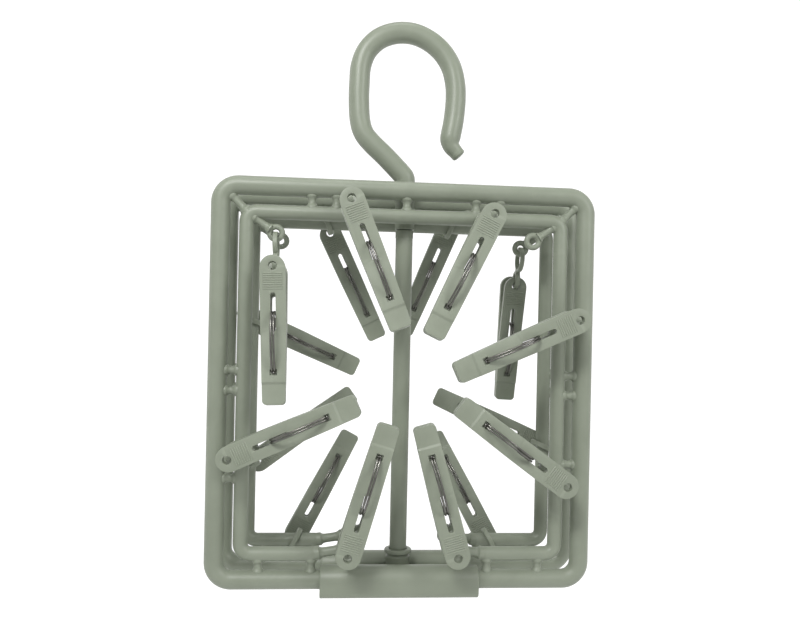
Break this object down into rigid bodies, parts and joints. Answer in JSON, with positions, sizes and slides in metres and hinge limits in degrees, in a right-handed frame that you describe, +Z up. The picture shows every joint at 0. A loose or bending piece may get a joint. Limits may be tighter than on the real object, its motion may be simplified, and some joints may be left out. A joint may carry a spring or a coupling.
{
  "type": "clip drying hanger",
  "caption": "Folding clip drying hanger: swivel hook and mast, two fold-up tube frames on a hinge saddle, and linked spring pegs for small laundry.",
  "frame": {"origin": "the seat inside the crown of the hook, straight above the mast, where a rail carries the hanger", "axes": "+Z up along the mast, X along the hinge saddle and the width of the frames, the front frame at -Y and the back frame at +Y"},
  "size_m": [0.1922, 0.084, 0.2921],
  "materials": {
    "frame_plastic": "sage green moulded polypropylene, satin",
    "mast_plastic": "sage green moulded polypropylene, satin",
    "link_plastic": "sage green moulded polypropylene, satin",
    "peg_plastic": "sage green moulded polypropylene, satin, with moulded grip ribs"
  },
  "bodies": {
    "hook": {"hook": "mast_plastic"},
    "mast": {"mast_tube": "mast_plastic", "mast_foot": "mast_plastic", "saddle": "frame_plastic"},
    "wing_front": {"wing_front": "frame_plastic"},
    "wing_back": {"wing_back": "frame_plastic"},
    "link_front_1": {"link_front_1": "link_plastic"},
    "peg_front_1": {"peg_inner_front_1": "peg_plastic"},
    "arm_front_1": {"peg_outer_front_1": "peg_plastic"},
    "link_front_2": {"link_front_2": "link_plastic"},
    "peg_front_2": {"peg_inner_front_2": "peg_plastic"},
    "arm_front_2": {"peg_outer_front_2": "peg_plastic"},
    "link_front_3": {"link_front_3": "link_plastic"},
    "peg_front_3": {"peg_inner_front_3": "peg_plastic"},
    "arm_front_3": {"peg_outer_front_3": "peg_plastic"},
    "link_front_4": {"link_front_4": "link_plastic"},
    "peg_front_4": {"peg_inner_front_4": "peg_plastic"},
    "arm_front_4": {"peg_outer_front_4": "peg_plastic"},
    "link_front_5": {"link_front_5": "link_plastic"},
    "peg_front_5": {"peg_inner_front_5": "peg_plastic"},
    "arm_front_5": {"peg_outer_front_5": "peg_plastic"},
    "link_front_6": {"link_front_6": "link_plastic"},
    "peg_front_6": {"peg_inner_front_6": "peg_plastic"},
    "arm_front_6": {"peg_outer_front_6": "peg_plastic"},
    "link_front_7": {"link_front_7": "link_plastic"},
    "peg_front_7": {"peg_inner_front_7": "peg_plastic"},
    "arm_front_7": {"peg_outer_front_7": "peg_plastic"},
    "link_front_8": {"link_front_8": "link_plastic"},
    "peg_front_8": {"peg_inner_front_8": "peg_plastic"},
    "arm_front_8": {"peg_outer_front_8": "peg_plastic"},
    "link_back_1": {"link_back_1": "link_plastic"},
    "peg_back_1": {"peg_inner_back_1": "peg_plastic"},
    "arm_back_1": {"peg_outer_back_1": "peg_plastic"},
    "link_back_2": {"link_back_2": "link_plastic"},
    "peg_back_2": {"peg_inner_back_2": "peg_plastic"},
    "arm_back_2": {"peg_outer_back_2": "peg_plastic"},
    "link_back_3": {"link_back_3": "link_plastic"},
    "peg_back_3": {"peg_inner_back_3": "peg_plastic"},
    "arm_back_3": {"peg_outer_back_3": "peg_plastic"},
    "link_back_4": {"link_back_4": "link_plastic"},
    "peg_back_4": {"peg_inner_back_4": "peg_plastic"},
    "arm_back_4": {"peg_outer_back_4": "peg_plastic"},
    "link_back_5": {"link_back_5": "link_plastic"},
    "peg_back_5": {"peg_inner_back_5": "peg_plastic"},
    "arm_back_5": {"peg_outer_back_5": "peg_plastic"},
    "link_back_6": {"link_back_6": "link_plastic"},
    "peg_back_6": {"peg_inner_back_6": "peg_plastic"},
    "arm_back_6": {"peg_outer_back_6": "peg_plastic"},
    "link_back_7": {"link_back_7": "link_plastic"},
    "peg_back_7": {"peg_inner_back_7": "peg_plastic"},
    "arm_back_7": {"peg_outer_back_7": "peg_plastic"},
    "link_back_8": {"link_back_8": "link_plastic"},
    "peg_back_8": {"peg_inner_back_8": "peg_plastic"},
    "arm_back_8": {"peg_outer_back_8": "peg_plastic"}
  },
  "joints": [
    {"name": "mast_swivel", "type": "hinge", "parent": "hook", "child": "mast", "pos_m": [0, 0, -0.0968], "axis": [0, 0, 1], "continuous": true},
    {"name": "wing_fold_front", "type": "hinge", "parent": "mast", "child": "wing_front", "pos_m": [0, -0.013, -0.2735], "axis": [1, 0, 0], "range_deg": [0, 90]},
    {"name": "wing_fold_back", "type": "hinge", "parent": "mast", "child": "wing_back", "pos_m": [0, 0.013, -0.2735], "axis": [-1, 0, 0], "range_deg": [0, 90]},
    {"name": "link_swing_front_1", "type": "hinge", "parent": "wing_front", "child": "link_front_1", "pos_m": [-0.0262, -0.013, -0.0922], "axis": [-1, 0, 0], "range_deg": [0, 12]},
    {"name": "peg_swing_front_1", "type": "hinge", "parent": "link_front_1", "child": "peg_front_1", "pos_m": [-0.02831, -0.0236, -0.08698], "axis": [-0.9272, 0, -0.3746], "range_deg": [0, 85]},
    {"name": "jaw_open_front_1", "type": "hinge", "parent": "peg_front_1", "child": "arm_front_1", "pos_m": [-0.01568, -0.034, -0.11823], "axis": [-0.9272, 0, -0.3746], "range_deg": [0, 8], "stiffness_Nm_per_rad": 0.08, "springref_deg": -5.73},
    {"name": "link_swing_front_2", "type": "hinge", "parent": "wing_front", "child": "link_front_2", "pos_m": [0.0405, -0.013, -0.0922], "axis": [-1, 0, 0], "range_deg": [0, 15]},
    {"name": "peg_swing_front_2", "type": "hinge", "parent": "link_front_2", "child": "peg_front_2", "pos_m": [0.0405, -0.025, -0.0922], "axis": [-0.8988, 0, 0.4384], "range_deg": [0, 90]},
    {"name": "jaw_open_front_2", "type": "hinge", "parent": "peg_front_2", "child": "arm_front_2", "pos_m": [0.02572, -0.03541, -0.1225], "axis": [-0.8988, 0, 0.4384], "range_deg": [0, 8], "stiffness_Nm_per_rad": 0.08, "springref_deg": -5.73},
    {"name": "link_swing_front_3", "type": "hinge", "parent": "wing_front", "child": "link_front_3", "pos_m": [-0.06439, -0.013, -0.1056], "axis": [-0.9994, 0, -0.0349], "range_deg": [0, 15]},
    {"name": "peg_swing_front_3", "type": "hinge", "parent": "link_front_3", "child": "peg_front_3", "pos_m": [-0.06393, -0.019, -0.11883], "axis": [-0.9994, 0, -0.0349], "range_deg": [0, 62]},
    {"name": "jaw_open_front_3", "type": "hinge", "parent": "peg_front_3", "child": "arm_front_3", "pos_m": [-0.06275, -0.02941, -0.15252], "axis": [-0.9994, 0, -0.0349], "range_deg": [0, 8], "stiffness_Nm_per_rad": 0.08, "springref_deg": -5.73},
    {"name": "link_swing_front_4", "type": "hinge", "parent": "wing_front", "child": "link_front_4", "pos_m": [-0.0788, -0.013, -0.2095], "axis": [0, 0, -1], "range_deg": [0, 12]},
    {"name": "peg_swing_front_4", "type": "hinge", "parent": "link_front_4", "child": "peg_front_4", "pos_m": [-0.08395, -0.0236, -0.21179], "axis": [0.4067, 0, -0.9135], "range_deg": [0, 85]},
    {"name": "jaw_open_front_4", "type": "hinge", "parent": "peg_front_4", "child": "arm_front_4", "pos_m": [-0.05316, -0.034, -0.19808], "axis": [0.4067, 0, -0.9135], "range_deg": [0, 8], "stiffness_Nm_per_rad": 0.08, "springref_deg": -5.73},
    {"name": "link_swing_front_5", "type": "hinge", "parent": "wing_front", "child": "link_front_5", "pos_m": [-0.02565, -0.013, -0.25532], "axis": [0.9613, 0, -0.2756], "range_deg": [0, 7]},
    {"name": "peg_swing_front_5", "type": "hinge", "parent": "link_front_5", "child": "peg_front_5", "pos_m": [-0.02651, -0.02339, -0.25835], "axis": [0.9613, 0, -0.2756], "range_deg": [0, 72]},
    {"name": "jaw_open_front_5", "type": "hinge", "parent": "peg_front_5", "child": "arm_front_5", "pos_m": [-0.01722, -0.0338, -0.22595], "axis": [0.9613, 0, -0.2756], "range_deg": [0, 8], "stiffness_Nm_per_rad": 0.08, "springref_deg": -5.73},
    {"name": "link_swing_front_6", "type": "hinge", "parent": "wing_front", "child": "link_front_6", "pos_m": [0.02565, -0.013, -0.25532], "axis": [0.9613, 0, 0.2756], "range_deg": [0, 7]},
    {"name": "peg_swing_front_6", "type": "hinge", "parent": "link_front_6", "child": "peg_front_6", "pos_m": [0.02651, -0.02339, -0.25835], "axis": [0.9613, 0, 0.2756], "range_deg": [0, 72]},
    {"name": "jaw_open_front_6", "type": "hinge", "parent": "peg_front_6", "child": "arm_front_6", "pos_m": [0.01722, -0.0338, -0.22595], "axis": [0.9613, 0, 0.2756], "range_deg": [0, 8], "stiffness_Nm_per_rad": 0.08, "springref_deg": -5.73},
    {"name": "link_swing_front_7", "type": "hinge", "parent": "wing_front", "child": "link_front_7", "pos_m": [0.0788, -0.013, -0.2235], "axis": [0, 0, 1], "range_deg": [0, 15]},
    {"name": "peg_swing_front_7", "type": "hinge", "parent": "link_front_7", "child": "peg_front_7", "pos_m": [0.0788, -0.025, -0.2235], "axis": [0.5878, 0, 0.809], "range_deg": [0, 90]},
    {"name": "jaw_open_front_7", "type": "hinge", "parent": "peg_front_7", "child": "arm_front_7", "pos_m": [0.05153, -0.03541, -0.20369], "axis": [0.5878, 0, 0.809], "range_deg": [0, 8], "stiffness_Nm_per_rad": 0.08, "springref_deg": -5.73},
    {"name": "link_swing_front_8", "type": "hinge", "parent": "wing_front", "child": "link_front_8", "pos_m": [0.0788, -0.013, -0.1445], "axis": [0, 0, 1], "range_deg": [0, 12]},
    {"name": "peg_swing_front_8", "type": "hinge", "parent": "link_front_8", "child": "peg_front_8", "pos_m": [0.08395, -0.0236, -0.14221], "axis": [-0.4067, 0, 0.9135], "range_deg": [0, 85]},
    {"name": "jaw_open_front_8", "type": "hinge", "parent": "peg_front_8", "child": "arm_front_8", "pos_m": [0.05316, -0.034, -0.15592], "axis": [-0.4067, 0, 0.9135], "range_deg": [0, 8], "stiffness_Nm_per_rad": 0.08, "springref_deg": -5.73},
    {"name": "link_swing_back_1", "type": "hinge", "parent": "wing_back", "child": "link_back_1", "pos_m": [0.0262, 0.013, -0.0922], "axis": [1, 0, 0], "range_deg": [0, 12]},
    {"name": "peg_swing_back_1", "type": "hinge", "parent": "link_back_1", "child": "peg_back_1", "pos_m": [0.02831, 0.0236, -0.08698], "axis": [0.9272, 0, -0.3746], "range_deg": [0, 85]},
    {"name": "jaw_open_back_1", "type": "hinge", "parent": "peg_back_1", "child": "arm_back_1", "pos_m": [0.01568, 0.034, -0.11823], "axis": [0.9272, 0, -0.3746], "range_deg": [0, 8], "stiffness_Nm_per_rad": 0.08, "springref_deg": -5.73},
    {"name": "link_swing_back_2", "type": "hinge", "parent": "wing_back", "child": "link_back_2", "pos_m": [-0.0405, 0.013, -0.0922], "axis": [1, 0, 0], "range_deg": [0, 15]},
    {"name": "peg_swing_back_2", "type": "hinge", "parent": "link_back_2", "child": "peg_back_2", "pos_m": [-0.0405, 0.025, -0.0922], "axis": [0.8988, 0, 0.4384], "range_deg": [0, 90]},
    {"name": "jaw_open_back_2", "type": "hinge", "parent": "peg_back_2", "child": "arm_back_2", "pos_m": [-0.02572, 0.03541, -0.1225], "axis": [0.8988, 0, 0.4384], "range_deg": [0, 8], "stiffness_Nm_per_rad": 0.08, "springref_deg": -5.73},
    {"name": "link_swing_back_3", "type": "hinge", "parent": "wing_back", "child": "link_back_3", "pos_m": [0.06439, 0.013, -0.1056], "axis": [0.9994, 0, -0.0349], "range_deg": [0, 15]},
    {"name": "peg_swing_back_3", "type": "hinge", "parent": "link_back_3", "child": "peg_back_3", "pos_m": [0.06393, 0.019, -0.11883], "axis": [0.9994, 0, -0.0349], "range_deg": [0, 62]},
    {"name": "jaw_open_back_3", "type": "hinge", "parent": "peg_back_3", "child": "arm_back_3", "pos_m": [0.06275, 0.02941, -0.15252], "axis": [0.9994, 0, -0.0349], "range_deg": [0, 8], "stiffness_Nm_per_rad": 0.08, "springref_deg": -5.73},
    {"name": "link_swing_back_4", "type": "hinge", "parent": "wing_back", "child": "link_back_4", "pos_m": [0.0788, 0.013, -0.2095], "axis": [0, 0, -1], "range_deg": [0, 12]},
    {"name": "peg_swing_back_4", "type": "hinge", "parent": "link_back_4", "child": "peg_back_4", "pos_m": [0.08395, 0.0236, -0.21179], "axis": [-0.4067, 0, -0.9135], "range_deg": [0, 85]},
    {"name": "jaw_open_back_4", "type": "hinge", "parent": "peg_back_4", "child": "arm_back_4", "pos_m": [0.05316, 0.034, -0.19808], "axis": [-0.4067, 0, -0.9135], "range_deg": [0, 8], "stiffness_Nm_per_rad": 0.08, "springref_deg": -5.73},
    {"name": "link_swing_back_5", "type": "hinge", "parent": "wing_back", "child": "link_back_5", "pos_m": [0.0505, 0.013, -0.2608], "axis": [-1, 0, 0], "range_deg": [0, 7]},
    {"name": "peg_swing_back_5", "type": "hinge", "parent": "link_back_5", "child": "peg_back_5", "pos_m": [0.05314, 0.0236, -0.26577], "axis": [-0.8829, 0, -0.4695], "range_deg": [0, 72]},
    {"name": "jaw_open_back_5", "type": "hinge", "parent": "peg_back_5", "child": "arm_back_5", "pos_m": [0.03732, 0.034, -0.23601], "axis": [-0.8829, 0, -0.4695], "range_deg": [0, 8], "stiffness_Nm_per_rad": 0.08, "springref_deg": -5.73},
    {"name": "link_swing_back_6", "type": "hinge", "parent": "wing_back", "child": "link_back_6", "pos_m": [-0.054, 0.013, -0.2608], "axis": [-1, 0, 0], "range_deg": [0, 7]},
    {"name": "peg_swing_back_6", "type": "hinge", "parent": "link_back_6", "child": "peg_back_6", "pos_m": [-0.05665, 0.0236, -0.26577], "axis": [-0.8829, 0, 0.4695], "range_deg": [0, 72]},
    {"name": "jaw_open_back_6", "type": "hinge", "parent": "peg_back_6", "child": "arm_back_6", "pos_m": [-0.04082, 0.034, -0.23601], "axis": [-0.8829, 0, 0.4695], "range_deg": [0, 8], "stiffness_Nm_per_rad": 0.08, "springref_deg": -5.73},
    {"name": "link_swing_back_7", "type": "hinge", "parent": "wing_back", "child": "link_back_7", "pos_m": [-0.0788, 0.013, -0.2235], "axis": [0, 0, 1], "range_deg": [0, 15]},
    {"name": "peg_swing_back_7", "type": "hinge", "parent": "link_back_7", "child": "peg_back_7", "pos_m": [-0.0788, 0.025, -0.2235], "axis": [-0.5878, 0, 0.809], "range_deg": [0, 90]},
    {"name": "jaw_open_back_7", "type": "hinge", "parent": "peg_back_7", "child": "arm_back_7", "pos_m": [-0.05153, 0.03541, -0.20369], "axis": [-0.5878, 0, 0.809], "range_deg": [0, 8], "stiffness_Nm_per_rad": 0.08, "springref_deg": -5.73},
    {"name": "link_swing_back_8", "type": "hinge", "parent": "wing_back", "child": "link_back_8", "pos_m": [-0.0788, 0.013, -0.1445], "axis": [0, 0, 1], "range_deg": [0, 12]},
    {"name": "peg_swing_back_8", "type": "hinge", "parent": "link_back_8", "child": "peg_back_8", "pos_m": [-0.08395, 0.0236, -0.14221], "axis": [0.4067, 0, 0.9135], "range_deg": [0, 85]},
    {"name": "jaw_open_back_8", "type": "hinge", "parent": "peg_back_8", "child": "arm_back_8", "pos_m": [-0.05316, 0.034, -0.15592], "axis": [0.4067, 0, 0.9135], "range_deg": [0, 8], "stiffness_Nm_per_rad": 0.08, "springref_deg": -5.73}
  ]
}
